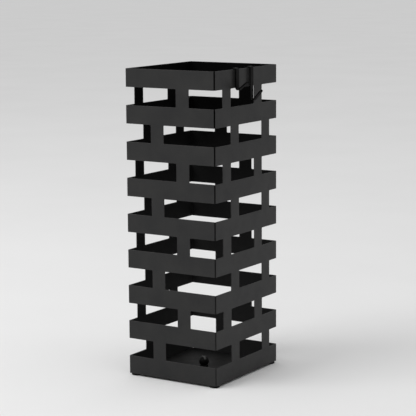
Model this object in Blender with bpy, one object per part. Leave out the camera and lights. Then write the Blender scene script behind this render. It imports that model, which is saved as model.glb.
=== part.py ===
"""Umbrella stand: a tall, narrow basket of powder-coated sheet steel in a brick pattern.

Two L-shaped sheets, each cut with rows of windows and folded once, meet corner to corner
round a floor plate. The plate has a drain hole in its middle with a rubber plug in it,
and stands on four rubber feet. Two J-shaped hooks hang over the rim.

Metres, +Z up. The stand is modelled about the middle of its floor, X across its narrow
faces and Y across its wide ones. Everything hangs from one empty, which moves the origin
to the middle of the whole footprint, hooks included.
"""

import math

import bmesh
import bpy

MM = 0.001

# Driving dimensions of the body
WIDTH = 140 * MM
DEPTH = 160 * MM
RIM_HEIGHT = 420 * MM
SHEET = 1 * MM
TOUCH_GAP = 0.3 * MM

# Brick pattern: bands all the way round, joined by short tabs that step sideways
BAND_COUNT = 9
BAND_HEIGHT = 24.7 * MM
TAB_WIDTH = 20 * MM
FOOT_HEIGHT = 3 * MM
WINDOW_HEIGHT = (RIM_HEIGHT - FOOT_HEIGHT - BAND_COUNT * BAND_HEIGHT) / (BAND_COUNT - 1)

# Where the tabs of one sheet start, from its free end on the wide wall to the fold,
# and from the fold on the narrow wall. The two sets take turns from row to row.
WIDE_TABS_A = (20 * MM, 100 * MM)
WIDE_TABS_B = (40 * MM, 120 * MM)
NARROW_TABS_A = (40 * MM,)
NARROW_TABS_B = (80 * MM,)

# Folds and the open corner seams
FOLD_RADIUS = 1.5 * MM
FOLD_STEPS = 4
SEAM_SETBACK = SHEET + 0.2 * MM

# Floor plate and drain
DRAIN_RADIUS = 4.6 * MM
PLATE_CORNER_CUT = 1.5 * MM
ROUND_STEPS = 32

# Drain plug, heights above the floor plate's top face
PLUG_STEM_RADIUS = 4.3 * MM
PLUG_STEM_DROP = 2.6 * MM
PLUG_STEM_CHAMFER = 0.7 * MM
PLUG_FLANGE_RADIUS = 5.7 * MM
PLUG_FLANGE_TOP = 1.4 * MM
PLUG_FLANGE_EDGE = 0.4 * MM
PLUG_KNOB_RADIUS = 6.6 * MM
PLUG_KNOB_MIDDLE = 6.6 * MM
PLUG_KNOB_RISE = 6.8 * MM
PLUG_KNOB_FALL = 6.4 * MM
PLUG_KNOB_STEPS = 10
PLUG_GRIP_HEIGHT = 14.4 * MM
PLUG_GRIP_LENGTH = 6.6 * MM
PLUG_GRIP_THICK = 2.6 * MM
PLUG_GRIP_EDGE = 0.7 * MM
PLUG_TAB_REACH = 12 * MM
PLUG_TAB_WIDTH = 3.2 * MM
PLUG_TAB_THICK = 1.6 * MM
PLUG_TAB_LIFT = 0.6 * MM
PLUG_TAB_ROOT = 3 * MM
PLUG_TAB_ANGLE = math.radians(-38)

# Rubber feet
FOOT_RADIUS = 6.5 * MM
FOOT_INSET = 6.8 * MM
FOOT_EDGE = 0.9 * MM

# Hooks: flat strip, bent over the rim and turned up at the bottom
HOOK_STRIP = 1.5 * MM
HOOK_WIDTH = 8 * MM
HOOK_INNER_LEG = 16 * MM
HOOK_INNER_AIR = 0.8 * MM
HOOK_OUTER_AIR = 1.9 * MM
HOOK_TOP_BEND = 0.9 * MM
HOOK_LOW_BEND = 1.8 * MM
HOOK_REACH = 19.5 * MM
HOOK_BEND_STEPS = 6
HOOK_TIP_STEPS = 5
HOOK_TIP_TURN = math.radians(80)
# Each hook: name, its middle from the front, its lowest point below the rim, the rise of its arm
HOOKS = (
    ("hook_short", 52 * MM, 27.4 * MM, math.radians(39)),
    ("hook_long", 88.5 * MM, 44 * MM, math.radians(48)),
)

FLOOR_TOP = FOOT_HEIGHT + SHEET
SMOOTH_ANGLE = math.radians(38)


def clear_scene():
    for thing in list(bpy.data.objects):
        bpy.data.objects.remove(thing, do_unlink=True)


def make_material(name, colour, roughness, metallic=0.0):
    material = bpy.data.materials.new(name)
    material.use_nodes = True
    shader = material.node_tree.nodes["Principled BSDF"]
    shader.inputs["Base Color"].default_value = (*colour, 1.0)
    shader.inputs["Roughness"].default_value = roughness
    shader.inputs["Metallic"].default_value = metallic
    return material


def powder_coat(name):
    return make_material(name, (0.022, 0.022, 0.024), 0.45)


def black_rubber(name):
    return make_material(name, (0.012, 0.012, 0.012), 0.62)


def add_object(name, mesh, parent, location, material):
    thing = bpy.data.objects.new(name, mesh)
    bpy.context.collection.objects.link(thing)
    thing.parent = parent
    thing.location = location
    if material is not None:
        mesh.materials.append(material)
    return thing


def finish_mesh(name, shape, smooth_angle=None):
    bmesh.ops.recalc_face_normals(shape, faces=shape.faces)
    mesh = bpy.data.meshes.new(name)
    shape.to_mesh(mesh)
    shape.free()
    if smooth_angle is not None:
        mesh.shade_smooth()
        mesh.set_sharp_from_angle(angle=smooth_angle)
    return mesh


# ---------------------------------------------------------------- folded sheets

def sheet_stations():
    """Stations along one folded sheet, from its free end on the wide wall to the other.

    Each is (outer point, outward normal, wall, distance along that wall), in plan, for
    the sheet whose wide wall faces +X and whose narrow wall faces +Y.
    """
    half_width = WIDTH / 2
    half_depth = DEPTH / 2
    wide_ends = {start + step for start in WIDE_TABS_A + WIDE_TABS_B for step in (0, TAB_WIDTH)}
    narrow_ends = {start + step for start in NARROW_TABS_A + NARROW_TABS_B for step in (0, TAB_WIDTH)}
    stations = []
    for along in sorted({round(value, 6) for value in wide_ends} | {SEAM_SETBACK}):
        stations.append(((half_width, along - half_depth), (1.0, 0.0), "wide", along))
    for step in range(FOLD_STEPS + 1):
        turn = math.radians(90) * step / FOLD_STEPS
        normal = (math.cos(turn), math.sin(turn))
        point = (half_width - FOLD_RADIUS * (1 - normal[0]), half_depth - FOLD_RADIUS * (1 - normal[1]))
        stations.append((point, normal, "fold", 0.0))
    for along in sorted({round(value, 6) for value in narrow_ends} | {WIDTH - SEAM_SETBACK}):
        stations.append(((half_width - along, half_depth), (0.0, 1.0), "narrow", along))
    return stations


def in_a_tab(near, far, starts):
    middle = (near + far) / 2
    return any(start < middle < start + TAB_WIDTH for start in starts)


def row_levels():
    """Heights of every band edge, from the bottom up."""
    levels = []
    for band in range(BAND_COUNT):
        low = FOOT_HEIGHT + band * (BAND_HEIGHT + WINDOW_HEIGHT)
        levels += [low, low + BAND_HEIGHT]
    return levels


def metal_cells(stations, starts_with_a):
    """The cells (station, level) of the sheet that are metal and not window."""
    cells = set()
    rows = 2 * BAND_COUNT - 1
    for row in range(rows):
        is_band = row % 2 == 0
        window_from_top = (rows - 1 - row) // 2
        use_a = (window_from_top % 2 == 0) == starts_with_a
        wide = WIDE_TABS_A if use_a else WIDE_TABS_B
        narrow = NARROW_TABS_A if use_a else NARROW_TABS_B
        for index in range(len(stations) - 1):
            first, second = stations[index], stations[index + 1]
            one_wall = first[2] == second[2] and first[2] != "fold"
            starts = wide if first[2] == "wide" else narrow
            if is_band or (one_wall and in_a_tab(first[3], second[3], starts)):
                cells.add((index, row))
    return cells


def folded_sheet(name, turn, starts_with_a, parent):
    """One L-shaped sheet. turn is 1 for the wall pair facing +X and +Y, -1 for the other."""
    stations = sheet_stations()
    levels = row_levels()
    cells = metal_cells(stations, starts_with_a)
    shape = bmesh.new()
    corners = {}

    def corner(index, row, inside):
        key = (index, row, inside)
        if key not in corners:
            (x, y), (nx, ny), _, _ = stations[index]
            depth = SHEET if inside else 0.0
            corners[key] = shape.verts.new((turn * (x - nx * depth), turn * (y - ny * depth), levels[row]))
        return corners[key]

    def edge_face(first, second):
        (i, j), (k, m) = first, second
        shape.faces.new([corner(i, j, False), corner(k, m, False), corner(k, m, True), corner(i, j, True)])

    for index, row in sorted(cells):
        outline = [(index, row), (index + 1, row), (index + 1, row + 1), (index, row + 1)]
        shape.faces.new([corner(i, j, False) for i, j in outline])
        shape.faces.new([corner(i, j, True) for i, j in reversed(outline)])
        neighbours = [(index, row - 1), (index + 1, row), (index, row + 1), (index - 1, row)]
        for side, neighbour in enumerate(neighbours):
            if neighbour not in cells:
                edge_face(outline[side], outline[(side + 1) % 4])
    mesh = finish_mesh(name, shape, SMOOTH_ANGLE)
    return add_object(name, mesh, parent, (0, 0, 0), powder_coat(name))


# ---------------------------------------------------------------- turned and flat pieces

def turned_mesh(name, profile):
    """A solid turned about Z. profile runs (radius, height) from the bottom up and starts and
    ends on the axis."""
    shape = bmesh.new()
    rings = []
    for radius, height in profile:
        if radius == 0:
            rings.append([shape.verts.new((0, 0, height))])
            continue
        ring = []
        for step in range(ROUND_STEPS):
            turn = math.tau * step / ROUND_STEPS
            ring.append(shape.verts.new((radius * math.cos(turn), radius * math.sin(turn), height)))
        rings.append(ring)
    for low, high in zip(rings, rings[1:]):
        for step in range(ROUND_STEPS):
            after = (step + 1) % ROUND_STEPS
            if len(low) == 1:
                shape.faces.new([low[0], high[step], high[after]])
            elif len(high) == 1:
                shape.faces.new([low[step], low[after], high[0]])
            else:
                shape.faces.new([low[step], low[after], high[after], high[step]])
    return finish_mesh(name, shape, SMOOTH_ANGLE)


def arc_points(centre, radius, start, end, steps):
    """Points of an arc in (radius, height), angles in degrees."""
    points = []
    for step in range(steps + 1):
        angle = math.radians(start + (end - start) * step / steps)
        points.append((centre[0] + radius * math.cos(angle), centre[1] + radius * math.sin(angle)))
    return points


def prism_mesh(name, outline, low, high):
    """A flat outline in X and Y between two heights."""
    shape = bmesh.new()
    bottom = [shape.verts.new((x, y, low)) for x, y in outline]
    top = [shape.verts.new((x, y, high)) for x, y in outline]
    shape.faces.new(bottom)
    shape.faces.new(top)
    for step in range(len(outline)):
        after = (step + 1) % len(outline)
        shape.faces.new([bottom[step], bottom[after], top[after], top[step]])
    return finish_mesh(name, shape)


def helper(name, mesh, parent, location):
    """A shape that only cuts or joins another one."""
    thing = add_object(name, mesh, parent, location, None)
    thing.hide_render = True
    thing.display_type = "WIRE"
    return thing


def combine(target, tool, operation):
    modifier = target.modifiers.new(tool.name, "BOOLEAN")
    modifier.operation = operation
    modifier.solver = "EXACT"
    modifier.object = tool


def floor_plate(parent):
    half_x = WIDTH / 2 - SHEET - TOUCH_GAP
    half_y = DEPTH / 2 - SHEET - TOUCH_GAP
    cut = PLATE_CORNER_CUT
    outline = [
        (half_x - cut, -half_y), (half_x, -half_y + cut),
        (half_x, half_y - cut), (half_x - cut, half_y),
        (-half_x + cut, half_y), (-half_x, half_y - cut),
        (-half_x, -half_y + cut), (-half_x + cut, -half_y),
    ]
    name = "floor_plate"
    mesh = prism_mesh(name, outline, FOOT_HEIGHT, FLOOR_TOP)
    plate = add_object(name, mesh, parent, (0, 0, 0), powder_coat(name))
    profile = [(0, 0), (DRAIN_RADIUS, 0), (DRAIN_RADIUS, 2 * FLOOR_TOP), (0, 2 * FLOOR_TOP)]
    cutter = helper("drain_cutter", turned_mesh("drain_cutter", profile), parent, (0, 0, 0))
    combine(plate, cutter, "DIFFERENCE")
    return plate


def plug_profile():
    """Stem in the drain hole, a thin flange that covers it, and an egg-shaped knob."""
    edge = PLUG_FLANGE_EDGE
    profile = [(0, -PLUG_STEM_DROP), (PLUG_STEM_RADIUS - PLUG_STEM_CHAMFER, -PLUG_STEM_DROP)]
    profile += [(PLUG_STEM_RADIUS, PLUG_STEM_CHAMFER - PLUG_STEM_DROP), (PLUG_STEM_RADIUS, TOUCH_GAP)]
    profile += arc_points((PLUG_FLANGE_RADIUS - edge, TOUCH_GAP + edge), edge, -90, 0, 2)
    profile += [(PLUG_FLANGE_RADIUS, PLUG_FLANGE_TOP)]
    start = -math.asin((PLUG_KNOB_MIDDLE - PLUG_FLANGE_TOP) / PLUG_KNOB_FALL)
    for step in range(PLUG_KNOB_STEPS):
        angle = start + (math.pi / 2 - start) * step / PLUG_KNOB_STEPS
        half_height = PLUG_KNOB_RISE if angle > 0 else PLUG_KNOB_FALL
        height = PLUG_KNOB_MIDDLE + half_height * math.sin(angle)
        profile.append((PLUG_KNOB_RADIUS * math.cos(angle), height))
    profile.append((0, PLUG_KNOB_MIDDLE + PLUG_KNOB_RISE))
    return profile


def drain_plug(parent):
    name = "drain_plug"
    seat = (0, 0, FLOOR_TOP)
    plug = add_object(name, turned_mesh(name, plug_profile()), parent, seat, black_rubber(name))

    # The grip is a short round-ended bar half sunk into the knob's crown.
    bar_radius = PLUG_GRIP_THICK / 2
    reach = PLUG_GRIP_LENGTH / 2
    edge = PLUG_GRIP_EDGE
    bar = [(0, -reach)] + arc_points((bar_radius - edge, edge - reach), edge, -90, 0, 2)
    bar += arc_points((bar_radius - edge, reach - edge), edge, 0, 90, 2) + [(0, reach)]
    grip_place = (0, 0, FLOOR_TOP + PLUG_GRIP_HEIGHT - bar_radius)
    grip = helper("plug_grip", turned_mesh("plug_grip", bar), parent, grip_place)
    grip.rotation_euler = (0, math.radians(90), 0)
    combine(plug, grip, "UNION")

    # The lift tab lies just above the floor, towards the open front corner.
    half = PLUG_TAB_WIDTH / 2
    straight = PLUG_TAB_REACH - half
    root = PLUG_FLANGE_RADIUS - PLUG_TAB_ROOT
    outline = [(root, -half)] + arc_points((straight, 0), half, -90, 90, 6) + [(root, half)]
    tab_mesh = prism_mesh("plug_tab", outline, PLUG_TAB_LIFT, PLUG_TAB_LIFT + PLUG_TAB_THICK)
    tab = helper("plug_tab", tab_mesh, parent, seat)
    tab.rotation_euler = (0, 0, PLUG_TAB_ANGLE)
    combine(plug, tab, "UNION")
    return plug


def rubber_foot(name, x, y, parent):
    top = FOOT_HEIGHT - TOUCH_GAP
    profile = [(0, 0)]
    profile += arc_points((FOOT_RADIUS - FOOT_EDGE, FOOT_EDGE), FOOT_EDGE, -90, 0, 3)
    profile += [(FOOT_RADIUS, top), (0, top)]
    return add_object(name, turned_mesh(name, profile), parent, (x, y, 0), black_rubber(name))


def rubber_feet(parent):
    x = WIDTH / 2 - FOOT_INSET
    y = DEPTH / 2 - FOOT_INSET
    places = {
        "foot_front_left": (-x, -y),
        "foot_front_right": (x, -y),
        "foot_rear_left": (-x, y),
        "foot_rear_right": (x, y),
    }
    for name, (foot_x, foot_y) in places.items():
        rubber_foot(name, foot_x, foot_y, parent)


# ---------------------------------------------------------------- hooks

def hook_line(drop, rise):
    """Centre line of a hook in X and Z from the outer face of the wall and the rim's top.

    Returns (x, z, direction) triples, direction in radians, from the inner leg's end over
    the rim, down the outer leg and up the arm to its tip.
    """
    half = HOOK_STRIP / 2
    inner_x = -SHEET - HOOK_INNER_AIR - half
    outer_x = HOOK_OUTER_AIR + half
    bend = HOOK_TOP_BEND + half
    top = TOUCH_GAP + half
    line = [(inner_x, -HOOK_INNER_LEG, math.pi / 2)]

    def add_bend(centre_x, centre_z, radius, start, end):
        """A bend passing through directions start to end, turning right when end < start."""
        side = 1 if end > start else -1
        for step in range(HOOK_BEND_STEPS + 1):
            heading = start + (end - start) * step / HOOK_BEND_STEPS
            line.append((centre_x + side * radius * math.sin(heading),
                         centre_z - side * radius * math.cos(heading), heading))

    add_bend(inner_x + bend, top - bend, bend, math.pi / 2, 0.0)
    add_bend(outer_x - bend, top - bend, bend, 0.0, -math.pi / 2)
    low_bend = HOOK_LOW_BEND + half
    low_z = -drop + half + low_bend
    add_bend(outer_x + low_bend, low_z, low_bend, -math.pi / 2, rise)
    arm_x, arm_z, _ = line[-1]
    run = HOOK_REACH - half * math.sin(rise) - arm_x
    line.append((arm_x + run, arm_z + run * math.tan(rise), rise))
    return line


def hook_stations(drop, rise):
    """The centre line with half the strip's width at each station; both ends are rounded."""
    line = hook_line(drop, rise)
    half_width = HOOK_WIDTH / 2
    stations = [(x, z, heading, half_width) for x, z, heading in line]
    for end, inward in ((0, 1), (-1, -1)):
        x, z, heading, _ = stations[end]
        rounded = []
        for step in range(HOOK_TIP_STEPS):
            turn = HOOK_TIP_TURN * step / (HOOK_TIP_STEPS - 1)
            back = half_width * (1 - math.sin(turn))
            rounded.append((x + inward * back * math.cos(heading), z + inward * back * math.sin(heading),
                            heading, half_width * math.cos(turn)))
        if end == 0:
            stations = list(reversed(rounded)) + stations[1:]
        else:
            stations = stations[:-1] + rounded
    return stations


def strip_mesh(name, stations):
    """A flat strip of constant thickness, swept through the stations; its width is along Y."""
    shape = bmesh.new()
    half = HOOK_STRIP / 2
    sections = []
    for x, z, heading, half_width in stations:
        nx, nz = -math.sin(heading) * half, math.cos(heading) * half
        section = [
            shape.verts.new((x + nx, -half_width, z + nz)),
            shape.verts.new((x + nx, half_width, z + nz)),
            shape.verts.new((x - nx, half_width, z - nz)),
            shape.verts.new((x - nx, -half_width, z - nz)),
        ]
        sections.append(section)
    for first, second in zip(sections, sections[1:]):
        for side in range(4):
            after = (side + 1) % 4
            shape.faces.new([first[side], first[after], second[after], second[side]])
    shape.faces.new(sections[0])
    shape.faces.new(sections[-1])
    return finish_mesh(name, shape, SMOOTH_ANGLE)


def rim_hook(name, from_front, drop, rise, parent):
    place = (WIDTH / 2, from_front - DEPTH / 2, RIM_HEIGHT)
    mesh = strip_mesh(name, hook_stations(drop, rise))
    return add_object(name, mesh, parent, place, powder_coat(name))


def build():
    clear_scene()
    stand = bpy.data.objects.new("stand_axis", None)
    bpy.context.collection.objects.link(stand)
    stand.location = (-HOOK_REACH / 2, 0, 0)
    folded_sheet("rear_right_panel", 1, True, stand)
    folded_sheet("front_left_panel", -1, False, stand)
    floor_plate(stand)
    drain_plug(stand)
    rubber_feet(stand)
    for name, from_front, drop, rise in HOOKS:
        rim_hook(name, from_front, drop, rise, stand)


build()
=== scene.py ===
"""Umbrella stand, dressed: powder-coated folded sheets with rounded cut edges, welded seams,
a dished floor plate, a moulded rubber plug and feet, and bent strip hooks.

Every sheet piece is made as a flat blank with rounded edges and then bent along a path, the
way the real one is. Sizes come from the frame; the brick pattern repeats the stand's own rule.
"""

import math

import bmesh
import bpy
from mathutils import Matrix, Quaternion, Vector


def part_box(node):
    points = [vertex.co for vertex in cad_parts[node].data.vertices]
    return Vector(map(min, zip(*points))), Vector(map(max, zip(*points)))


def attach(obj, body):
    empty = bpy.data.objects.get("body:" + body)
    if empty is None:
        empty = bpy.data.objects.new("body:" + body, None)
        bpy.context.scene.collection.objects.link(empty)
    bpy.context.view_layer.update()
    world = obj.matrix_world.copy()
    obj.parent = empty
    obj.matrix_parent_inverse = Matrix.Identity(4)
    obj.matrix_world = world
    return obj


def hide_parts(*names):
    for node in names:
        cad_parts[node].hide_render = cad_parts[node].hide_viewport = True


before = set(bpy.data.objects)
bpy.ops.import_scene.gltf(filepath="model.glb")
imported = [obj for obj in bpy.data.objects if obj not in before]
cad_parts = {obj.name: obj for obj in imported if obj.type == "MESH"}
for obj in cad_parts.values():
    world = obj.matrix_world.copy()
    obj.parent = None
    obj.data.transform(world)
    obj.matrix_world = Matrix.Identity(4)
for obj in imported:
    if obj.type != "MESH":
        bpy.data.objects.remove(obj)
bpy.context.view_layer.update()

MM = 0.001
QUARTER = math.pi / 2

# The stand's box, from the frame
(LEFT_X, FRONT_Y, PANEL_FOOT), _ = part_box("front_left_panel")
_, (RIGHT_X, REAR_Y, RIM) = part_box("rear_right_panel")
AXIS = Vector(((LEFT_X + RIGHT_X) / 2, (FRONT_Y + REAR_Y) / 2, 0))
WIDTH = RIGHT_X - LEFT_X
DEPTH = REAR_Y - FRONT_Y
PLATE_LOW, PLATE_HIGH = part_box("floor_plate")
SHEET = PLATE_HIGH.z - PLATE_LOW.z

# Brick pattern: tabs start at these distances from a sheet's free end on the wide wall, and
# from the fold on the narrow one; the two sets take turns from row to row
BAND_COUNT = 9
BAND_HEIGHT = 24.7 * MM
WINDOW_HEIGHT = (RIM - PANEL_FOOT - BAND_COUNT * BAND_HEIGHT) / (BAND_COUNT - 1)
TAB_WIDTH = 20 * MM
WIDE_TABS_A = (20 * MM, 100 * MM)
WIDE_TABS_B = (40 * MM, 120 * MM)
NARROW_TABS_A = (40 * MM,)
NARROW_TABS_B = (80 * MM,)

# Sheet work
FOLD_RADIUS = 1.2 * MM
FOLD_STEPS = 8
SEAM_SETBACK = SHEET + 0.2 * MM
WINDOW_CORNER = 1 * MM
CORNER_STEPS = 4
EDGE_ROUND = 0.25 * MM
EDGE_STEPS = 3
CLEAN_ANGLE = math.radians(45)
FLAT_ENOUGH = 0.98

# Two marks closer than this on the flat sheet are one
SAME_PLACE = 0.05 * MM

# Noise patterns of the materials: scale, detail, roughness
COAT_CLOUDS = (28, 4, 0.6)
COAT_SATIN = (65, 3, 0.55)
PALE_MARK_PATCHES = (420, 3, 0.6)
HOOK_CLOUDS = (90, 4, 0.6)
HOOK_SATIN = (300, 3, 0.5)
ORANGE_PEEL = (650, 2, 0.5)
COAT_GRAIN = (3200, 1, 0.5)
RUBBER_BLOOM = (240, 4, 0.65)
RUBBER_SATIN = (900, 2, 0.5)
PLUG_HIGHLIGHT_PATCHES = (500, 3, 0.6)
RUBBER_PITS = (2600, 2, 0.6)
RUBBER_WAVES = (300, 2, 0.5)
FLOOR_CLOUDS = (3, 3, 0.5)

# How noise turns into shade, wear and painted highlights: its low and high end, and what they become
CLOUD_CONTRAST = (0.35, 0.65, 0.0, 1.0)
BLOOM_CONTRAST = (0.4, 0.7, 0.0, 1.0)
PAINT_CONTRAST = (0.3, 0.7, 0.0, 1.0)
EDGE_WEAR_AND_HIGHLIGHT = (0.42, 0.62, 0.25, 1.0)
CROWN_HIGHLIGHT_CONTRAST = (0.4, 0.6, 0.7, 1.0)
PLUG_HIGHLIGHT_CONTRAST = (0.3, 0.6, 0.75, 1.0)
SATIN_CONTRAST = (0.3, 0.7)

# Bumps: strength and depth
PEEL_BUMP = (0.18, 0.08 * MM)
GRAIN_BUMP = (0.12, 0.02 * MM)
PIT_BUMP = (0.25, 0.04 * MM)
WAVE_BUMP = (0.15, 0.1 * MM)

# Coats: how much light each scatters, its least and most roughness, its specular level
OUTSIDE_COAT = (0.0195, (0.38, 0.46), 0.22)
# painted shade: the inside coat is far darker than the outside one, standing in for the shade inside the
# stand, in its seams and on the welds
INSIDE_SHADE_COAT = (0.0011, (0.62, 0.74), 0.03)
FLOOR_COAT = (0.0155, (0.44, 0.54), 0.16)

# Hook coat: the least and the most light its face scatters, then its cut sides, darkened as painted shade,
# and its crown above the rim, paled as a painted highlight
HOOK_FACE = (0.0135, 0.018)
HOOK_SIDE_PAINTED_SHADE = 0.0012
HOOK_CROWN_PAINTED_HIGHLIGHT = 0.036
HOOK_ROUGHNESS = (0.5, 0.6)
HOOK_GLOSS = 0.01

# Shares of a coat's shade in its deep and cloudy places and on its cut edges, which are paler partly as
# wear and partly as a painted highlight, and how much smoother such an edge is
DEEP_SHARES = (0.85, 0.85, 0.87)
CLOUDED_SHARES = (1.15, 1.14, 1.12)
WORN_AND_HIGHLIGHT_SHARE = 1.7
WORN_SMOOTHER = 0.08

# Rubber: the least and the most light it scatters, and what it scatters where the plug's grip gets its
# painted highlight
RUBBER_SHADES = (0.0025, 0.0065)
RUBBER_PAINTED_HIGHLIGHT = 0.11
HIGHLIGHT_SMOOTHER = 0.15
RUBBER_ROUGHNESS = (0.52, 0.64)
RUBBER_GLOSS = 0.13

# Studio floor paint
FLOOR_SHADES = (0.78, 0.80)
FLOOR_ROUGHNESS = 0.85

# Painted light inside: what it adds to the light scattered at the bottom, standing in for light from the
# floor, and the height where it ends
PAINTED_FLOOR_LIGHT = 0.03
PAINTED_FLOOR_LIGHT_TOP = 360 * MM

# Weld beads inside the seams, and tacks round the plate; tack places are shares of a side's
# length from its middle
SEAM_LEG = 1.0 * MM
TACK_LEG = 1.6 * MM
BEAD_HOLLOW = 0.22
BEAD_TURN_STEPS = 5
BEAD_RIPPLE = 1.3 * MM
BEAD_RIPPLE_DEPTH = 0.07
BEAD_RIPPLE_STEPS = 4
BEAD_END = 0.2 * MM
WELD_DEPTH = 0.05 * MM
TACK_LENGTH = 9 * MM
TACK_PLACES = (-0.45, 0.45)

# Floor plate; its rings stand closer together near the drain, by a power
DRAIN_RADIUS = 4.6 * MM
PLATE_DISH = 0.35 * MM
PLATE_RINGS = 14
PLATE_SIDE_STEPS = 16
PLATE_RING_SPREAD = 1.6

# Plug: heights above the plate, the rib's span in angles above the knob's widest level, and how far past
# the knob's egg, as a share of its size, a point stands that gets the full painted highlight
PLUG_STEM_RADIUS = 4.3 * MM
PLUG_EDGE = 0.5 * MM
PLUG_FLANGE_RADIUS = 5.7 * MM
PLUG_FLANGE_TOP = 1.4 * MM
PLUG_KNOB_RADIUS = 6.9 * MM
PLUG_KNOB_MIDDLE = 6.6 * MM
PLUG_KNOB_RISE = 6.8 * MM
PLUG_KNOB_FALL = 6.4 * MM
PLUG_KNOB_STEPS = 20
PLUG_GRIP_LENGTH = 6.6 * MM
PLUG_GRIP_THICK = 2.6 * MM
PLUG_RIB_WIDTH = 2.8 * MM
PLUG_RIB_PROUD = 0.5 * MM
PLUG_RIB_SUNK = 1.5 * MM
PLUG_RIB_SPAN = (math.radians(28), math.radians(82))
PLUG_RIB_STEPS = 10
# heights where the painted highlight on the grip and rib begins and where it is full
PLUG_HIGHLIGHT_HEIGHTS = (10.2 * MM, 11.4 * MM)
PROUD_ENOUGH = 0.04
PLUG_TAB_WIDTH = 3.2 * MM
PLUG_TAB_THICK = 1.6 * MM
PLUG_TAB_LIFT = 0.4 * MM
PLUG_TAB_ANGLE = math.radians(-38)
PLUG_TAB_REACH = 12 * MM
PLUG_TAB_STEPS = 12
PLUG_GRAIN = 0.28 * MM
PLUG_SOFTENING = 3
PLUG_STEPS = 64
PLUG_GRIP_STEPS = 32
PLUG_EDGE_STEPS = 4

# Feet; the groove's edges are shares of the pad's radius
FOOT_EDGE = 0.9 * MM
FOOT_EDGE_STEPS = 6
FOOT_TOP_EDGE = 0.4 * MM
FOOT_TOP_STEPS = 4
FOOT_GROOVE = 0.35 * MM
FOOT_GROOVE_SIDES = (0.45, 0.5)
FOOT_STEPS = 64

# Hooks
HOOK_STRIP = 1.5 * MM
HOOK_WIDTH = 8 * MM
HOOK_INNER_LEG = 16 * MM
HOOK_INNER_AIR = 0.8 * MM
HOOK_OUTER_AIR = 1.9 * MM
HOOK_TOP_BEND = 0.9 * MM
HOOK_LOW_BEND = 1.8 * MM
SHORT_HOOK_RISE = math.radians(39)
LONG_HOOK_RISE = math.radians(48)
HOOK_EDGE = 0.35 * MM
HOOK_TOP_GAP = 0.3 * MM
HOOK_COLUMNS = 6
HOOK_SPACING = 0.45 * MM
HOOK_END_STEPS = 8

# Light: the room's level at heights from eye level (0) to straight up (1)
ROOM_LIGHT = ((0.0, 0.27), (0.3, 0.33), (0.65, 0.6), (0.9, 0.72), (1.0, 0.72))
ROOM_STRENGTH = 1.3
KEY_POWER = 70
KEY_PLACE = (-1.6, -2.4, 2.6)
KEY_TARGET = (-0.4, -0.6, 0.0)
KEY_SIZE = (2.4, 2.0)

# Studio floor, metres each way from the middle
FLOOR_REACH = 60.0
FLOOR_CELLS = 24

# Camera: lens and sensor in millimetres, aim from the middle of the walls at floor level
CAMERA_YAW = math.radians(32.41)
CAMERA_PITCH = math.radians(9.114)
CAMERA_ROLL = math.radians(-0.388)
CAMERA_LENS = 135.39
CAMERA_SENSOR = 36
CAMERA_DISTANCE = 2140.3 * MM
CAMERA_AIM = Vector((5.84, 3.71, 226.21)) * MM


# ---------------------------------------------------------------- materials

def grey(level):
    return (level, level, level)


class Nodes:
    """Short calls for building one material's nodes."""

    def __init__(self, name):
        self.material = bpy.data.materials.new(name)
        self.material.use_nodes = True
        self.tree = self.material.node_tree
        self.shader = self.tree.nodes["Principled BSDF"]
        self.place = self.add("ShaderNodeTexCoord").outputs["Object"]

    def add(self, kind):
        return self.tree.nodes.new(kind)

    def link(self, source, target):
        self.tree.links.new(source, target)

    def noise(self, scale, detail, roughness):
        node = self.add("ShaderNodeTexNoise")
        node.inputs["Scale"].default_value = scale
        node.inputs["Detail"].default_value = detail
        node.inputs["Roughness"].default_value = roughness
        self.link(self.place, node.inputs["Vector"])
        return node.outputs["Fac"]

    def range(self, value, low, high, to_low, to_high):
        node = self.add("ShaderNodeMapRange")
        self.link(value, node.inputs["Value"])
        settings = (low, high, to_low, to_high)
        for socket, number in zip(("From Min", "From Max", "To Min", "To Max"), settings):
            node.inputs[socket].default_value = number
        return node.outputs["Result"]

    def math(self, operation, first, second):
        node = self.add("ShaderNodeMath")
        node.operation = operation
        for socket, value in zip(node.inputs, (first, second)):
            if isinstance(value, (int, float)):
                socket.default_value = value
            else:
                self.link(value, socket)
        return node.outputs["Value"]

    def mix_colour(self, factor, first, second):
        node = self.add("ShaderNodeMix")
        node.data_type = "RGBA"
        self.link(factor, node.inputs["Factor"])
        for socket, value in (("A", first), ("B", second)):
            target = next(i for i in node.inputs if i.name == socket and i.type == "RGBA")
            if isinstance(value, tuple):
                target.default_value = (*value, 1.0)
            else:
                self.link(value, target)
        return next(o for o in node.outputs if o.type == "RGBA")

    def bump(self, height, strength, distance, below=None):
        node = self.add("ShaderNodeBump")
        node.inputs["Strength"].default_value = strength
        node.inputs["Distance"].default_value = distance
        self.link(height, node.inputs["Height"])
        if below is not None:
            self.link(below, node.inputs["Normal"])
        return node.outputs["Normal"]

    def height(self):
        node = self.add("ShaderNodeSeparateXYZ")
        self.link(self.place, node.inputs["Vector"])
        return node.outputs["Z"]

    def attribute(self, name):
        node = self.add("ShaderNodeAttribute")
        node.attribute_name = name
        return node.outputs["Fac"]


def coat_bump(n):
    """Orange peel with a fine grain on it."""
    peel = n.bump(n.noise(*ORANGE_PEEL), *PEEL_BUMP)
    return n.bump(n.noise(*COAT_GRAIN), *GRAIN_BUMP, peel)


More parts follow.
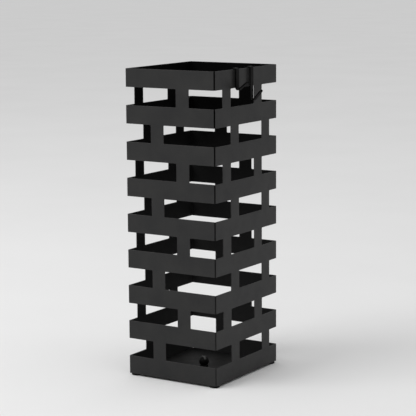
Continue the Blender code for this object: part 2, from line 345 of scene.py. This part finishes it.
def powder_coat(name, coat, painted_floor_light=0.0):
    """Black powder coat: orange peel, fine grain, uneven tone, and cut edges a little paler, partly as
    wear and partly as a painted highlight.

    painted_floor_light is painted light: how much more light it scatters low down, standing in for light
    from the floor that reaches the lower inside.
    """
    n = Nodes(name)
    black, satin_range, gloss = coat
    tone = n.range(n.noise(*COAT_CLOUDS), *CLOUD_CONTRAST)
    deep = tuple(black * share for share in DEEP_SHARES)
    clouded = tuple(black * share for share in CLOUDED_SHARES)
    # cut edges paler: partly wear, partly a painted highlight on the rounded edges
    pale_mark = n.range(n.noise(*PALE_MARK_PATCHES), *EDGE_WEAR_AND_HIGHLIGHT)
    wear_and_highlight = n.math("MULTIPLY", n.attribute("cut_edge"), pale_mark)
    colour = n.mix_colour(wear_and_highlight, n.mix_colour(tone, deep, clouded), grey(black * WORN_AND_HIGHLIGHT_SHARE))
    if painted_floor_light:
        # painted light: paler towards the bottom, standing in for light from the floor
        floor_light_share = n.range(n.height(), 0.0, PAINTED_FLOOR_LIGHT_TOP, 1.0, 0.0)
        colour = n.mix_colour(floor_light_share, colour, grey(black + painted_floor_light))
    n.link(colour, n.shader.inputs["Base Color"])
    satin = n.range(n.noise(*COAT_SATIN), *SATIN_CONTRAST, *satin_range)
    smoother = n.math("MULTIPLY", wear_and_highlight, WORN_SMOOTHER)
    n.link(n.math("SUBTRACT", satin, smoother), n.shader.inputs["Roughness"])
    n.shader.inputs["Specular IOR Level"].default_value = gloss
    n.link(coat_bump(n), n.shader.inputs["Normal"])
    return n.material


def hook_coat():
    """Dull black coat, with painted shade on the strip's cut sides and a painted highlight on the crown
    above the rim.
    """
    n = Nodes("dull_black_hook_coat")
    tone = n.range(n.noise(*HOOK_CLOUDS), *CLOUD_CONTRAST)
    face = n.mix_colour(tone, grey(HOOK_FACE[0]), grey(HOOK_FACE[1]))
    # painted shade on the strip's cut sides
    coated = n.mix_colour(n.attribute("cut_edge"), face, grey(HOOK_SIDE_PAINTED_SHADE))
    # painted highlight on the crown above the rim, where light from overhead falls
    crown = n.range(n.height(), RIM + HOOK_STRIP / 2, RIM + HOOK_STRIP + HOOK_TOP_GAP, 0.0, 1.0)
    pale_mark = n.math("MULTIPLY", crown, n.range(n.noise(*PALE_MARK_PATCHES), *CROWN_HIGHLIGHT_CONTRAST))
    n.link(n.mix_colour(pale_mark, coated, grey(HOOK_CROWN_PAINTED_HIGHLIGHT)), n.shader.inputs["Base Color"])
    satin = n.range(n.noise(*HOOK_SATIN), *SATIN_CONTRAST, *HOOK_ROUGHNESS)
    n.link(satin, n.shader.inputs["Roughness"])
    n.shader.inputs["Specular IOR Level"].default_value = HOOK_GLOSS
    n.link(coat_bump(n), n.shader.inputs["Normal"])
    return n.material


def moulded_rubber(name, pale_mark):
    """Black moulded rubber with a fine pitted grain, a little bloomed.

    Where pale_mark gives two heights above the plate, whatever stands proud there gets a painted
    highlight, from none at the first height to full at the second.
    """
    n = Nodes(name)
    bloom = n.range(n.noise(*RUBBER_BLOOM), *BLOOM_CONTRAST)
    colour = n.mix_colour(bloom, grey(RUBBER_SHADES[0]), grey(RUBBER_SHADES[1]))
    rough = n.range(n.noise(*RUBBER_SATIN), *SATIN_CONTRAST, *RUBBER_ROUGHNESS)
    if pale_mark:
        # painted highlight on the grip bar and the rib's top, where light from overhead falls
        plug_highlight = n.range(n.height(), PLATE_HIGH.z + pale_mark[0], PLATE_HIGH.z + pale_mark[1], 0.0, 1.0)
        patches = n.range(n.noise(*PLUG_HIGHLIGHT_PATCHES), *PLUG_HIGHLIGHT_CONTRAST)
        plug_highlight = n.math("MULTIPLY", plug_highlight, patches)
        plug_highlight = n.math("MULTIPLY", plug_highlight, n.attribute("proud"))
        colour = n.mix_colour(plug_highlight, colour, grey(RUBBER_PAINTED_HIGHLIGHT))
        rough = n.math("SUBTRACT", rough, n.math("MULTIPLY", plug_highlight, HIGHLIGHT_SMOOTHER))
    n.link(colour, n.shader.inputs["Base Color"])
    n.link(rough, n.shader.inputs["Roughness"])
    n.shader.inputs["Specular IOR Level"].default_value = RUBBER_GLOSS
    pits = n.bump(n.noise(*RUBBER_PITS), *PIT_BUMP)
    n.link(n.bump(n.noise(*RUBBER_WAVES), *WAVE_BUMP, pits), n.shader.inputs["Normal"])
    return n.material


def studio_floor_material():
    n = Nodes("studio_floor_paint")
    shade = n.range(n.noise(*FLOOR_CLOUDS), *PAINT_CONTRAST)
    paint = n.mix_colour(shade, grey(FLOOR_SHADES[0]), grey(FLOOR_SHADES[1]))
    n.link(paint, n.shader.inputs["Base Color"])
    n.shader.inputs["Roughness"].default_value = FLOOR_ROUGHNESS
    n.shader.inputs["Specular IOR Level"].default_value = 0.0
    return n.material


COAT = powder_coat("satin_black_powder_coat", OUTSIDE_COAT)
# the inside coat is painted shade, with painted light from the floor low down
INSIDE_SHADE_MATERIAL = powder_coat("black_inside_coat_painted_shade", INSIDE_SHADE_COAT, PAINTED_FLOOR_LIGHT)
PLATE_COAT = powder_coat("floor_plate_black_coat", FLOOR_COAT)
HOOK_COAT = hook_coat()
PLUG_RUBBER = moulded_rubber("moulded_plug_rubber", PLUG_HIGHLIGHT_HEIGHTS)
FOOT_RUBBER = moulded_rubber("moulded_foot_rubber", None)


# ---------------------------------------------------------------- mesh helpers

def finish_piece(shape, name, body, materials, replaced):
    """Turns a bmesh into a finished piece that rides on a body and stands for CAD nodes."""
    bmesh.ops.recalc_face_normals(shape, faces=shape.faces)
    mesh = bpy.data.meshes.new(name)
    shape.to_mesh(mesh)
    shape.free()
    for material in materials:
        mesh.materials.append(material)
    mesh.shade_smooth()
    mesh.set_sharp_from_angle(angle=CLEAN_ANGLE)
    piece = bpy.data.objects.new(name, mesh)
    bpy.context.collection.objects.link(piece)
    weigh = piece.modifiers.new("flat_faces", "WEIGHTED_NORMAL")
    weigh.keep_sharp = True
    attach(piece, body)
    if replaced:
        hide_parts(*replaced)
    return piece


def thicken(blank, thickness, edge_round):
    """Gives a flat blank its thickness, along +Z, and rounds all its cut edges."""
    raised = bmesh.ops.extrude_face_region(blank, geom=blank.faces[:])
    top = [part for part in raised["geom"] if isinstance(part, bmesh.types.BMVert)]
    bmesh.ops.translate(blank, verts=top, vec=(0, 0, thickness))
    bmesh.ops.recalc_face_normals(blank, faces=blank.faces)
    rims = []
    for edge in blank.edges:
        level = abs(edge.verts[0].co.z - edge.verts[1].co.z) < thickness / 2
        if level and edge.calc_face_angle(0) > QUARTER / 2:
            rims.append(edge)
    bmesh.ops.bevel(blank, geom=rims, offset=edge_round, offset_type="OFFSET", segments=EDGE_STEPS,
                    profile=0.5, affect="EDGES", clamp_overlap=False)
    mark_cut_edges(blank)


def mark_cut_edges(blank):
    """Notes on each face whether it belongs to a cut edge, for the coats' paler edges (wear and a painted
    highlight) and the hooks' painted shade on their sides.
    """
    layer = blank.faces.layers.float.new("cut_edge")
    for face in blank.faces:
        face[layer] = 1.0 if abs(face.normal.z) < FLAT_ENOUGH else 0.0


def walk(path, distance):
    """Place and heading at a distance along a path of (length, turn) stretches in a plane."""
    x = y = heading = 0.0
    for index, (length, turn) in enumerate(path):
        step = distance if index == len(path) - 1 else min(distance, length)
        if turn:
            bend = turn / length
            x += (math.sin(heading + bend * step) - math.sin(heading)) / bend
            y += (math.cos(heading) - math.cos(heading + bend * step)) / bend
            heading += bend * step
        else:
            x += step * math.cos(heading)
            y += step * math.sin(heading)
        distance -= step
        if distance <= 0:
            break
    return x, y, heading


def bend(blank, path, place):
    """Bends a blank along a path: its X runs along the path, its Z to the path's left.

    place turns (path x, path y, blank y) into a point of the frame.
    """
    for vert in blank.verts:
        along, across, depth = vert.co
        x, y, heading = walk(path, along)
        vert.co = place(x - depth * math.sin(heading), y + depth * math.cos(heading), across)


def arc(centre, radius, start, end, steps):
    """Points of an arc, angles in degrees."""
    points = []
    for step in range(steps + 1):
        angle = math.radians(start + (end - start) * step / steps)
        points.append((centre[0] + radius * math.cos(angle), centre[1] + radius * math.sin(angle)))
    return points


def turned(shape, profile, steps, matrix):
    """Adds a solid turned about Z from a (radius, height) profile that starts and ends on the axis."""
    rings = []
    for radius, height in profile:
        count = 1 if radius == 0 else steps
        ring = []
        for step in range(count):
            turn = math.tau * step / steps
            point = Vector((radius * math.cos(turn), radius * math.sin(turn), height))
            ring.append(shape.verts.new(matrix @ point))
        rings.append(ring)
    for low, high in zip(rings, rings[1:]):
        for step in range(steps):
            after = (step + 1) % steps
            corners = [low[step % len(low)], low[after % len(low)],
                       high[after % len(high)], high[step % len(high)]]
            unique = list(dict.fromkeys(corners))
            if len(unique) > 2:
                shape.faces.new(unique)


def join_sections(shape, sections):
    """Skins a row of rings of points and closes both ends."""
    for low, high in zip(sections, sections[1:]):
        for side in range(len(low)):
            after = (side + 1) % len(low)
            shape.faces.new([low[side], low[after], high[after], high[side]])
    shape.faces.new(sections[0])
    shape.faces.new(sections[-1])


# ---------------------------------------------------------------- folded sheets

def sheet_path():
    """A folded sheet's outer face in plan: wide wall, fold, narrow wall."""
    return [(DEPTH - FOLD_RADIUS, 0.0), (QUARTER * FOLD_RADIUS, QUARTER), (WIDTH, 0.0)]


def on_narrow_wall(from_corner):
    """Distance along the flat sheet of a place on the narrow wall."""
    return DEPTH - FOLD_RADIUS + QUARTER * FOLD_RADIUS + from_corner - FOLD_RADIUS


def sheet_tabs(use_a):
    """(start, end) of each tab in a row, along the flat sheet."""
    starts = list(WIDE_TABS_A if use_a else WIDE_TABS_B)
    starts += [on_narrow_wall(start) for start in (NARROW_TABS_A if use_a else NARROW_TABS_B)]
    return [(start, start + TAB_WIDTH) for start in starts]


def sheet_columns():
    """Where the flat sheet is divided along its length: at tab edges, corner rounds and the fold."""
    marks = {SEAM_SETBACK, on_narrow_wall(WIDTH - SEAM_SETBACK)}
    for use_a in (True, False):
        for start, end in sheet_tabs(use_a):
            marks |= {start - WINDOW_CORNER, start, end, end + WINDOW_CORNER}
    for step in range(FOLD_STEPS + 1):
        marks.add(DEPTH - FOLD_RADIUS + QUARTER * FOLD_RADIUS * step / FOLD_STEPS)
    columns = []
    for mark in sorted(marks):
        if not columns or mark - columns[-1] > SAME_PLACE:
            columns.append(mark)
    return columns


def sheet_rows():
    """(low, high, kind, window number from the top) of every row of cells, from the bottom up."""
    rows = []
    for band in range(BAND_COUNT):
        low = PANEL_FOOT + band * (BAND_HEIGHT + WINDOW_HEIGHT)
        rows.append((low, low + BAND_HEIGHT, "band", 0))
        if band < BAND_COUNT - 1:
            sill = low + BAND_HEIGHT
            head = sill + WINDOW_HEIGHT
            number = BAND_COUNT - 2 - band
            rows.append((sill, sill + WINDOW_CORNER, "sill", number))
            rows.append((sill + WINDOW_CORNER, head - WINDOW_CORNER, "window", number))
            rows.append((head - WINDOW_CORNER, head, "head", number))
    return rows


def round_corner(corner, left, right, low, high, kind, metal_on_left):
    """Fills a window's corner cell up to its rounded outline with a fan of triangles."""
    root_x = left if metal_on_left else right
    far_x = right if metal_on_left else left
    root_y, far_y = (low, high) if kind == "sill" else (high, low)
    points = []
    for step in range(CORNER_STEPS + 1):
        turn = QUARTER * step / CORNER_STEPS
        x = far_x + (root_x - far_x) * math.sin(turn)
        y = far_y + (root_y - far_y) * math.cos(turn)
        points.append(corner(x, y))
    root = corner(root_x, root_y)
    return [(root, first, second) for first, second in zip(points, points[1:])]


def sheet_blank(starts_with_a):
    """The flat sheet: its outline in X (along) and Y (height), windows cut out."""
    blank = bmesh.new()
    corners = {}

    def corner(x, y):
        key = (round(x / MM, 3), round(y / MM, 3))
        if key not in corners:
            corners[key] = blank.verts.new((x, y, 0))
        return corners[key]

    columns = sheet_columns()
    for low, high, kind, number in sheet_rows():
        tabs = sheet_tabs((number % 2 == 0) == starts_with_a)
        for left, right in zip(columns, columns[1:]):
            middle = (left + right) / 2
            if kind == "band" or any(start < middle < end for start, end in tabs):
                cell = [(left, low), (right, low), (right, high), (left, high)]
                blank.faces.new([corner(x, y) for x, y in cell])
                continue
            if kind == "window":
                continue
            for start, end in tabs:
                if end < middle < end + WINDOW_CORNER:
                    fans = round_corner(corner, left, right, low, high, kind, True)
                elif start - WINDOW_CORNER < middle < start:
                    fans = round_corner(corner, left, right, low, high, kind, False)
                else:
                    continue
                for fan in fans:
                    blank.faces.new(fan)
    bmesh.ops.recalc_face_normals(blank, faces=blank.faces)
    return blank


def folded_sheet(name, turn, starts_with_a, node):
    """One L-shaped sheet. turn is 1 for the walls facing +X and +Y, -1 for the other two."""
    blank = sheet_blank(starts_with_a)
    thicken(blank, SHEET, EDGE_ROUND)

    def place(x, y, across):
        return Vector((AXIS.x + turn * (WIDTH / 2 - y), AXIS.y + turn * (x - DEPTH / 2), across))

    seam_start = SEAM_SETBACK + EDGE_ROUND
    seam_end = on_narrow_wall(WIDTH - SEAM_SETBACK) - EDGE_ROUND
    # inside faces and the faces at the seams get the inside coat, which is painted shade
    for face in blank.faces:
        at_seam = not seam_start < face.calc_center_median().x < seam_end
        face.material_index = 1 if at_seam or face.normal.z > FLAT_ENOUGH else 0
    bend(blank, sheet_path(), place)
    finish_piece(blank, name, "stand", [COAT, INSIDE_SHADE_MATERIAL], [node])


# ---------------------------------------------------------------- welds

def bead(shape, corner, along, first, second, length, leg):
    """A rippled hollow fillet weld from a corner point, along one direction, between two walls."""
    steps = round(BEAD_RIPPLE_STEPS * length / BEAD_RIPPLE)
    sections = []
    for step in range(steps + 1):
        travel = length * step / steps
        end = min(travel, length - travel)
        taper = math.sqrt(min(1.0, (end + BEAD_END) / leg))
        ripple = 1 + BEAD_RIPPLE_DEPTH * math.sin(math.tau * travel / BEAD_RIPPLE)
        reach = leg * taper * ripple
        ring = [corner + along * travel]
        for x, y in arc((0, 0), reach, 0, 90, BEAD_TURN_STEPS):
            bulge = (x + y) / reach - 1
            ring.append(corner + along * travel + (first * x + second * y) * (1 - BEAD_HOLLOW * bulge))
        sections.append([shape.verts.new(point) for point in ring])
    join_sections(shape, sections)


def seam_beads(name, turn):
    """Beads up one seam, one behind each band; turn is 1 at the front right corner."""
    shape = bmesh.new()
    inset = SHEET - WELD_DEPTH
    x = AXIS.x + turn * (WIDTH / 2 - inset)
    y = AXIS.y - turn * (DEPTH / 2 - inset)
    up = Vector((0, 0, 1))
    along_x = Vector((-turn, 0, 0))
    along_y = Vector((0, turn, 0))
    for band in range(BAND_COUNT):
        low = PANEL_FOOT + band * (BAND_HEIGHT + WINDOW_HEIGHT)
        start = max(low + EDGE_ROUND, PLATE_HIGH.z + TACK_LEG)
        length = low + BAND_HEIGHT - EDGE_ROUND - start
        bead(shape, Vector((x, y, start)), up, along_x, along_y, length, SEAM_LEG)
    # the beads take the inside coat, which is painted shade
    finish_piece(shape, name, "stand", [INSIDE_SHADE_MATERIAL], [])


def plate_tacks():
    """Two short tacks on each side join the plate to the walls."""
    shape = bmesh.new()
    up = Vector((0, 0, 1))
    level = PLATE_HIGH.z - WELD_DEPTH
    inner_x = WIDTH / 2 - SHEET + WELD_DEPTH
    inner_y = DEPTH / 2 - SHEET + WELD_DEPTH
    for side in (-1, 1):
        for share in TACK_PLACES:
            start_x = AXIS.x + share * WIDTH - TACK_LENGTH / 2
            start_y = AXIS.y + share * DEPTH - TACK_LENGTH / 2
            corner = Vector((AXIS.x + side * inner_x, start_y, level))
            bead(shape, corner, Vector((0, 1, 0)), Vector((-side, 0, 0)), up, TACK_LENGTH, TACK_LEG)
            corner = Vector((start_x, AXIS.y + side * inner_y, level))
            bead(shape, corner, Vector((1, 0, 0)), Vector((0, -side, 0)), up, TACK_LENGTH, TACK_LEG)
    # the tacks take the inside coat, which is painted shade
    finish_piece(shape, "plate_tacks", "stand", [INSIDE_SHADE_MATERIAL], [])


# ---------------------------------------------------------------- floor plate

def plate_outline():
    """Points round the plate's edge, from the middle of its right side, corners clipped."""
    half_x = WIDTH / 2 - SHEET
    half_y = DEPTH / 2 - SHEET
    points = []
    for step in range(4 * PLATE_SIDE_STEPS):
        side, share = divmod(step, PLATE_SIDE_STEPS)
        travel = 2 * share / PLATE_SIDE_STEPS - 1
        point = [(1, travel), (-travel, 1), (-1, -travel), (travel, -1)][side]
        points.append((point[0] * half_x, point[1] * half_y))
    return points


def base_plate():
    """The floor plate, dished a little so that drips run to the drain."""
    shape = bmesh.new()
    outline = plate_outline()
    rings = []
    for ring in range(PLATE_RINGS + 1):
        share = (ring / PLATE_RINGS) ** PLATE_RING_SPREAD
        drop = PLATE_DISH * (1 - share) ** 2
        verts = []
        for x, y in outline:
            turn = math.atan2(y, x)
            inner = Vector((DRAIN_RADIUS * math.cos(turn), DRAIN_RADIUS * math.sin(turn), 0))
            point = inner.lerp(Vector((x, y, 0)), share) + AXIS
            verts.append(shape.verts.new((point.x, point.y, PLATE_LOW.z - drop)))
        rings.append(verts)
    for inner, outer in zip(rings, rings[1:]):
        for step in range(len(outline)):
            after = (step + 1) % len(outline)
            shape.faces.new([inner[step], inner[after], outer[after], outer[step]])
    thicken(shape, SHEET, EDGE_ROUND)
    finish_piece(shape, "base_plate", "stand", [PLATE_COAT], ["floor_plate"])


# ---------------------------------------------------------------- rubber pieces

def settle(piece, voxel, rounds):
    """Melts overlapping shells of a piece into one moulded skin with soft inner corners."""
    remesh = piece.modifiers.new("melt", "REMESH")
    remesh.mode = "VOXEL"
    remesh.voxel_size = voxel
    smooth = piece.modifiers.new("soften", "SMOOTH")
    smooth.iterations = rounds
    depsgraph = bpy.context.evaluated_depsgraph_get()
    mesh = bpy.data.meshes.new_from_object(piece.evaluated_get(depsgraph))
    piece.modifiers.clear()
    piece.data = mesh
    mesh.shade_smooth()


def knob_point(angle, proud=0.0):
    """(radius, height) on the plug's egg-shaped knob at an angle above its widest level."""
    half_height = PLUG_KNOB_RISE if angle > 0 else PLUG_KNOB_FALL
    radius = (PLUG_KNOB_RADIUS + proud) * math.cos(angle)
    return radius, PLUG_KNOB_MIDDLE + (half_height + proud) * math.sin(angle)


def drain_plug():
    """A stem, a thin flange, an egg-shaped knob with a grip bar and a finger rib, and a lift tab."""
    shape = bmesh.new()
    box_low, box_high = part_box("drain_plug")
    seat = Matrix.Translation((AXIS.x, AXIS.y, PLATE_HIGH.z))
    stem = box_low.z - PLATE_HIGH.z
    flange = PLUG_EDGE - PLATE_DISH
    profile = [(0, stem), (PLUG_STEM_RADIUS - PLUG_EDGE, stem), (PLUG_STEM_RADIUS, stem + PLUG_EDGE)]
    profile += [(PLUG_STEM_RADIUS, flange - PLUG_EDGE)]
    profile += arc((PLUG_FLANGE_RADIUS - PLUG_EDGE, flange), PLUG_EDGE, -90, 0, PLUG_EDGE_STEPS)
    profile += [(PLUG_FLANGE_RADIUS, PLUG_FLANGE_TOP)]
    start = -math.asin((PLUG_KNOB_MIDDLE - PLUG_FLANGE_TOP) / PLUG_KNOB_FALL)
    for step in range(PLUG_KNOB_STEPS):
        profile.append(knob_point(start + (QUARTER - start) * step / PLUG_KNOB_STEPS))
    profile.append((0, PLUG_KNOB_MIDDLE + PLUG_KNOB_RISE))
    turned(shape, profile, PLUG_STEPS, seat)

    reach = PLUG_GRIP_LENGTH / 2
    thick = PLUG_GRIP_THICK / 2
    bar = [(0, -reach)]
    bar += arc((thick - PLUG_EDGE, PLUG_EDGE - reach), PLUG_EDGE, -90, 0, PLUG_EDGE_STEPS)
    bar += arc((thick - PLUG_EDGE, reach - PLUG_EDGE), PLUG_EDGE, 0, 90, PLUG_EDGE_STEPS)
    bar.append((0, reach))
    bar_place = Matrix.Translation((0, 0, box_high.z - PLATE_HIGH.z - thick))
    turned(shape, bar, PLUG_GRIP_STEPS, seat @ bar_place @ Matrix.Rotation(QUARTER, 4, "Y"))

    add_plug_rib(shape, seat)
    add_plug_tab(shape, seat)
    plug = finish_piece(shape, "drain_plug_moulding", "plug", [PLUG_RUBBER], ["drain_plug"])
    settle(plug, PLUG_GRAIN, PLUG_SOFTENING)
    mark_proud(plug.data)


def mark_proud(mesh):
    """Notes on each point of the plug how far it stands out of the knob's egg, for the painted highlight.
    """
    layer = mesh.attributes.new("proud", "FLOAT", "POINT")
    for vert, note in zip(mesh.vertices, layer.data):
        place = vert.co - Vector((AXIS.x, AXIS.y, PLATE_HIGH.z + PLUG_KNOB_MIDDLE))
        across = math.hypot(place.x, place.y) / PLUG_KNOB_RADIUS
        stretch = math.hypot(across, place.z / PLUG_KNOB_RISE)
        note.value = min(1.0, max(0.0, (stretch - 1) / PROUD_ENOUGH))


def add_plug_rib(shape, seat):
    """A finger rib from the grip bar down the side of the knob, in line with the lift tab."""
    matrix = seat @ Matrix.Rotation(PLUG_TAB_ANGLE, 4, "Z")
    half = PLUG_RIB_WIDTH / 2
    outline = ((PLUG_RIB_PROUD, -half), (PLUG_RIB_PROUD, half),
               (-PLUG_RIB_SUNK, half), (-PLUG_RIB_SUNK, -half))
    sections = []
    for step in range(PLUG_RIB_STEPS + 1):
        angle = PLUG_RIB_SPAN[0] + (PLUG_RIB_SPAN[1] - PLUG_RIB_SPAN[0]) * step / PLUG_RIB_STEPS
        ring = []
        for proud, side in outline:
            radius, height = knob_point(angle, proud)
            ring.append(shape.verts.new(matrix @ Vector((radius, side, height))))
        sections.append(ring)
    join_sections(shape, sections)


def add_plug_tab(shape, seat):
    """The flat lift tab that sticks out of the plug's side just above the plate."""
    half = PLUG_TAB_WIDTH / 2
    root = PLUG_FLANGE_RADIUS / 2
    outline = [(root, -half)]
    outline += arc((PLUG_TAB_REACH - half, 0), half, -90, 90, PLUG_TAB_STEPS)
    outline.append((root, half))
    matrix = seat @ Matrix.Rotation(PLUG_TAB_ANGLE, 4, "Z")
    low = [shape.verts.new(matrix @ Vector((x, y, PLUG_TAB_LIFT))) for x, y in outline]
    high = [shape.verts.new(matrix @ Vector((x, y, PLUG_TAB_LIFT + PLUG_TAB_THICK))) for x, y in outline]
    join_sections(shape, [low, high])


def foot_pad(node):
    """A low round rubber pad with a rounded tread edge and a shallow ring groove underneath."""
    low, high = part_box(node)
    radius = (high.x - low.x) / 2
    top = PLATE_LOW.z
    inner, outer = FOOT_GROOVE_SIDES
    profile = [(0, FOOT_GROOVE), (radius * inner, FOOT_GROOVE), (radius * outer, 0)]
    profile += arc((radius - FOOT_EDGE, FOOT_EDGE), FOOT_EDGE, -90, 0, FOOT_EDGE_STEPS)
    profile += arc((radius - FOOT_TOP_EDGE, top - FOOT_TOP_EDGE), FOOT_TOP_EDGE, 0, 90, FOOT_TOP_STEPS)
    profile.append((0, top))
    shape = bmesh.new()
    seat = Matrix.Translation(((low.x + high.x) / 2, (low.y + high.y) / 2, 0))
    turned(shape, profile, FOOT_STEPS, seat)
    finish_piece(shape, node + "_pad", "stand", [FOOT_RUBBER], [node])


# ---------------------------------------------------------------- hooks

def hook_path(drop, reach, rise):
    """A hook's line from its inner end: up, over the rim, down, round and out along the arm.

    The line runs along the strip's face next to the wall; the strip lies on its left.
    """
    top = HOOK_TOP_BEND
    across = HOOK_INNER_AIR + SHEET + HOOK_OUTER_AIR - 2 * top
    low = HOOK_LOW_BEND + HOOK_STRIP
    sweep = QUARTER + rise
    inner_leg = HOOK_INNER_LEG + HOOK_TOP_GAP - top
    outer_leg = drop + HOOK_TOP_GAP - top - low
    tip = reach - HOOK_OUTER_AIR - low - low * math.sin(rise)
    arm = tip / math.cos(rise)
    return [(inner_leg, 0), (QUARTER * top, -QUARTER), (across, 0), (QUARTER * top, -QUARTER),
            (outer_leg, 0), (sweep * low, sweep), (arm, 0)]


def strip_blank(length):
    """A hook's flat strip along X with half-round ends, divided across and along."""
    half = HOOK_WIDTH / 2
    columns = HOOK_COLUMNS
    rounded = [half * (1 - math.cos(QUARTER * step / HOOK_END_STEPS)) for step in range(1, HOOK_END_STEPS)]
    middle_count = round((length - 2 * half) / HOOK_SPACING)
    middle = [half + (length - 2 * half) * step / middle_count for step in range(middle_count + 1)]
    stations = rounded + middle + [length - value for value in reversed(rounded)]
    blank = bmesh.new()
    rows = [[blank.verts.new((0, 0, 0))]]
    for along in stations:
        inset = max(0.0, half - along, along - (length - half))
        reach = math.sqrt(half * half - inset * inset)
        places = [reach * (2 * c / columns - 1) for c in range(columns + 1)]
        rows.append([blank.verts.new((along, place, 0)) for place in places])
    rows.append([blank.verts.new((length, 0, 0))])
    for low, high in zip(rows, rows[1:]):
        for c in range(columns):
            corners = [low[min(c, len(low) - 1)], low[min(c + 1, len(low) - 1)],
                       high[min(c + 1, len(high) - 1)], high[min(c, len(high) - 1)]]
            blank.faces.new(list(dict.fromkeys(corners)))
    bmesh.ops.recalc_face_normals(blank, faces=blank.faces)
    return blank


def rim_hook(name, node, body, rise):
    """A strip bent over the rim, as long as its CAD node, whose arm rises at the given angle."""
    low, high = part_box(node)
    drop = RIM - low.z
    reach = high.x - RIGHT_X
    path = hook_path(drop, reach, rise)
    length = sum(stretch for stretch, _ in path)
    blank = strip_blank(length)
    thicken(blank, HOOK_STRIP, HOOK_EDGE)
    middle_y = (low.y + high.y) / 2
    start_x = RIGHT_X - SHEET - HOOK_INNER_AIR
    start_z = RIM - HOOK_INNER_LEG

    def place(x, y, across):
        return Vector((start_x - y, middle_y + across, start_z + x))

    bend(blank, path, place)
    finish_piece(blank, name, body, [HOOK_COAT], [node])


# ---------------------------------------------------------------- studio

def studio_floor():
    shape = bmesh.new()
    bmesh.ops.create_grid(shape, x_segments=FLOOR_CELLS, y_segments=FLOOR_CELLS, size=FLOOR_REACH)
    mesh = bpy.data.meshes.new("studio_floor")
    shape.to_mesh(mesh)
    shape.free()
    mesh.materials.append(studio_floor_material())
    floor = bpy.data.objects.new("studio_floor", mesh)
    bpy.context.collection.objects.link(floor)


def key_light():
    """A soft light on the floor in front."""
    data = bpy.data.lights.new("key", "AREA")
    data.shape = "RECTANGLE"
    data.size, data.size_y = KEY_SIZE
    data.energy = KEY_POWER
    light = bpy.data.objects.new("key", data)
    bpy.context.collection.objects.link(light)
    light.location = KEY_PLACE
    light.rotation_mode = "QUATERNION"
    light.rotation_quaternion = (Vector(KEY_TARGET) - Vector(KEY_PLACE)).to_track_quat("-Z", "Y")


def room_light():
    """A pale room, dim at eye level and bright overhead."""
    world = bpy.data.worlds.new("studio")
    world.use_nodes = True
    tree = world.node_tree
    place = tree.nodes.new("ShaderNodeTexCoord")
    split = tree.nodes.new("ShaderNodeSeparateXYZ")
    ramp = tree.nodes.new("ShaderNodeValToRGB")
    tree.links.new(place.outputs["Generated"], split.inputs["Vector"])
    tree.links.new(split.outputs["Z"], ramp.inputs["Fac"])
    ramp.color_ramp.elements.remove(ramp.color_ramp.elements[1])
    ramp.color_ramp.elements[0].position = 0.0
    ramp.color_ramp.elements[0].color = (ROOM_LIGHT[0][1],) * 3 + (1,)
    for height, level in ROOM_LIGHT[1:]:
        ramp.color_ramp.elements.new(height).color = (level,) * 3 + (1,)
    background = tree.nodes["Background"]
    tree.links.new(ramp.outputs["Color"], background.inputs["Color"])
    background.inputs["Strength"].default_value = ROOM_STRENGTH
    bpy.context.scene.world = world


def studio_camera():
    data = bpy.data.cameras.new("camera")
    data.lens = CAMERA_LENS
    data.sensor_width = CAMERA_SENSOR
    camera = bpy.data.objects.new("camera", data)
    bpy.context.collection.objects.link(camera)
    level = math.cos(CAMERA_PITCH)
    forward_x = -math.sin(CAMERA_YAW) * level
    forward_y = math.cos(CAMERA_YAW) * level
    forward = Vector((forward_x, forward_y, -math.sin(CAMERA_PITCH)))
    camera.location = AXIS + CAMERA_AIM - forward * CAMERA_DISTANCE
    camera.rotation_mode = "QUATERNION"
    camera.rotation_quaternion = Quaternion(forward, -CAMERA_ROLL) @ forward.to_track_quat("-Z", "Y")
    bpy.context.scene.camera = camera


# ---------------------------------------------------------------- build

folded_sheet("rear_right_sheet", 1, True, "rear_right_panel")
folded_sheet("front_left_sheet", -1, False, "front_left_panel")
seam_beads("weld_beads_front_right", 1)
seam_beads("weld_beads_rear_left", -1)
plate_tacks()
base_plate()
drain_plug()
for foot in ("foot_front_left", "foot_front_right", "foot_rear_left", "foot_rear_right"):
    foot_pad(foot)
rim_hook("short_hook_strip", "hook_short", "short_hook", SHORT_HOOK_RISE)
rim_hook("long_hook_strip", "hook_long", "long_hook", LONG_HOOK_RISE)

studio_floor()
room_light()
key_light()
studio_camera()
bpy.context.scene.view_settings.view_transform = "Standard"
